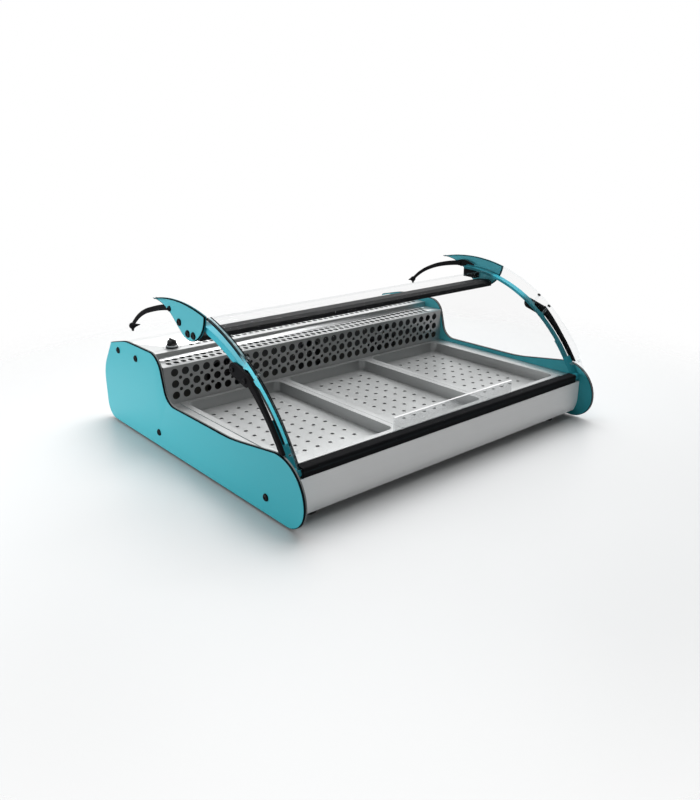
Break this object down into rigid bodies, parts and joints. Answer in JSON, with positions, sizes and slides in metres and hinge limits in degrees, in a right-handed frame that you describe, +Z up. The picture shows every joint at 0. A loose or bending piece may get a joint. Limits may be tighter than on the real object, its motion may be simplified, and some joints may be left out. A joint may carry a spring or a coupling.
{
  "type": "fish display case",
  "caption": "Counter-top chilled fish display case: shaped side panels, perforated trays over a drained well, a rear fan and coil housing, and a curved glass canopy that tilts forward.",
  "frame": {"origin": "on the counter, under the middle of the case", "axes": "+X to the right along the front, -Y towards the customer, +Z up"},
  "size_m": [1.0614, 0.956, 0.4239],
  "materials": {
    "teal_board": "satin",
    "teal_band": "gloss",
    "dark_teal": "satin",
    "black_metal": "satin",
    "bolts": "satin",
    "stainless": "satin",
    "front_aluminium": "satin",
    "rubber": "matte",
    "foam": "matte",
    "glass": "polished",
    "clear_plastic": "gloss",
    "black_plastic": "matte",
    "motor_paint": "satin",
    "coil_aluminium": "satin",
    "copper": "satin",
    "grey_plastic": "matte",
    "rocker_plastic": "gloss",
    "lamp_white": "gloss"
  },
  "bodies": {
    "base": {"left_side_panel": "teal_board", "right_side_panel": "teal_board", "panel_bolts": "bolts", "end_plates": "stainless", "base_pan": "stainless", "rubber_feet": "rubber", "insulation": "foam", "well_liner": "stainless", "tray_bars": "stainless", "drain_fitting": "stainless", "drain_strainer": "stainless", "front_panel": "front_aluminium", "front_rail": "black_metal", "hinge_plugs": "black_plastic", "hinge_pins": "bolts", "air_grille": "stainless", "top_vent": "stainless", "top_cover": "stainless", "rear_cover": "stainless", "fan_plate": "stainless", "fan_brackets": "stainless", "fan_motors": "motor_paint", "evaporator_coil": "coil_aluminium", "drip_tray": "stainless", "refrigerant_pipes": "copper", "junction_box": "grey_plastic", "cable_gland": "black_plastic", "switch_plate": "black_plastic", "knob_collar": "grey_plastic"},
    "canopy": {"front_glass": "glass", "glass_studs": "bolts", "glass_caps": "bolts", "left_arm": "teal_band", "right_arm": "teal_band", "left_arm_foot": "dark_teal", "right_arm_foot": "dark_teal", "left_leg": "black_metal", "right_leg": "black_metal", "leg_bolts": "bolts", "clamp_blocks": "black_metal", "fin_blocks": "black_metal", "left_fin": "teal_board", "right_fin": "teal_board", "fin_bolts": "bolts", "light_bar": "black_metal", "lamp_strip": "lamp_white", "lamp_diffuser": "lamp_white", "hook_pivots": "black_metal"},
    "left_hook": {"left_hook_arm": "black_metal"},
    "right_hook": {"right_hook_arm": "black_metal"},
    "left_fan": {"fan_rotor_left": "black_plastic"},
    "centre_fan": {"fan_rotor_centre": "black_plastic"},
    "right_fan": {"fan_rotor_right": "black_plastic"},
    "knob": {"thermostat_knob": "black_plastic"},
    "light_rocker": {"light_switch": "rocker_plastic"},
    "fan_rocker": {"fan_switch": "rocker_plastic"},
    "left_tray": {"display_tray_left": "stainless"},
    "centre_tray": {"display_tray_centre": "stainless"},
    "right_tray": {"display_tray_right": "stainless"},
    "ticket_strip": {"ticket_rail": "clear_plastic"}
  },
  "joints": [
    {"name": "canopy_tilt", "type": "hinge", "parent": "base", "child": "canopy", "pos_m": [0, -0.42, 0.125], "axis": [1, 0, 0], "range_deg": [0, 58]},
    {"name": "left_hook_swing", "type": "hinge", "parent": "canopy", "child": "left_hook", "pos_m": [-0.5127, 0.0378, 0.3984], "axis": [1, 0, 0], "range_deg": [-8, 45]},
    {"name": "right_hook_swing", "type": "hinge", "parent": "canopy", "child": "right_hook", "pos_m": [0.5127, 0.0378, 0.3984], "axis": [1, 0, 0], "range_deg": [-8, 45]},
    {"name": "left_fan_spin", "type": "hinge", "parent": "base", "child": "left_fan", "pos_m": [-0.3, 0.1835, 0.13825], "axis": [0, 1, 0], "continuous": true},
    {"name": "centre_fan_spin", "type": "hinge", "parent": "base", "child": "centre_fan", "pos_m": [0, 0.1835, 0.13825], "axis": [0, 1, 0], "continuous": true},
    {"name": "right_fan_spin", "type": "hinge", "parent": "base", "child": "right_fan", "pos_m": [0.3, 0.1835, 0.13825], "axis": [0, 1, 0], "continuous": true},
    {"name": "knob_turn", "type": "hinge", "parent": "base", "child": "knob", "pos_m": [-0.43, 0.2305, 0.2523], "axis": [0, 0, 1], "range_deg": [-135, 135]},
    {"name": "light_rocker_tip", "type": "hinge", "parent": "base", "child": "light_rocker", "pos_m": [-0.315, 0.458, 0.095], "axis": [1, 0, 0], "range_deg": [0, 14]},
    {"name": "fan_rocker_tip", "type": "hinge", "parent": "base", "child": "fan_rocker", "pos_m": [-0.285, 0.458, 0.095], "axis": [1, 0, 0], "range_deg": [0, 14]},
    {"name": "left_tray_lift", "type": "slide", "parent": "base", "child": "left_tray", "axis": [0, 0, 1], "range_m": [0, 0.07]},
    {"name": "centre_tray_lift", "type": "slide", "parent": "base", "child": "centre_tray", "axis": [0, 0, 1], "range_m": [0, 0.07]},
    {"name": "right_tray_lift", "type": "slide", "parent": "base", "child": "right_tray", "axis": [0, 0, 1], "range_m": [0, 0.07]},
    {"name": "ticket_slide", "type": "slide", "parent": "base", "child": "ticket_strip", "axis": [1, 0, 0], "range_m": [-0.28, 0.24]}
  ]
}
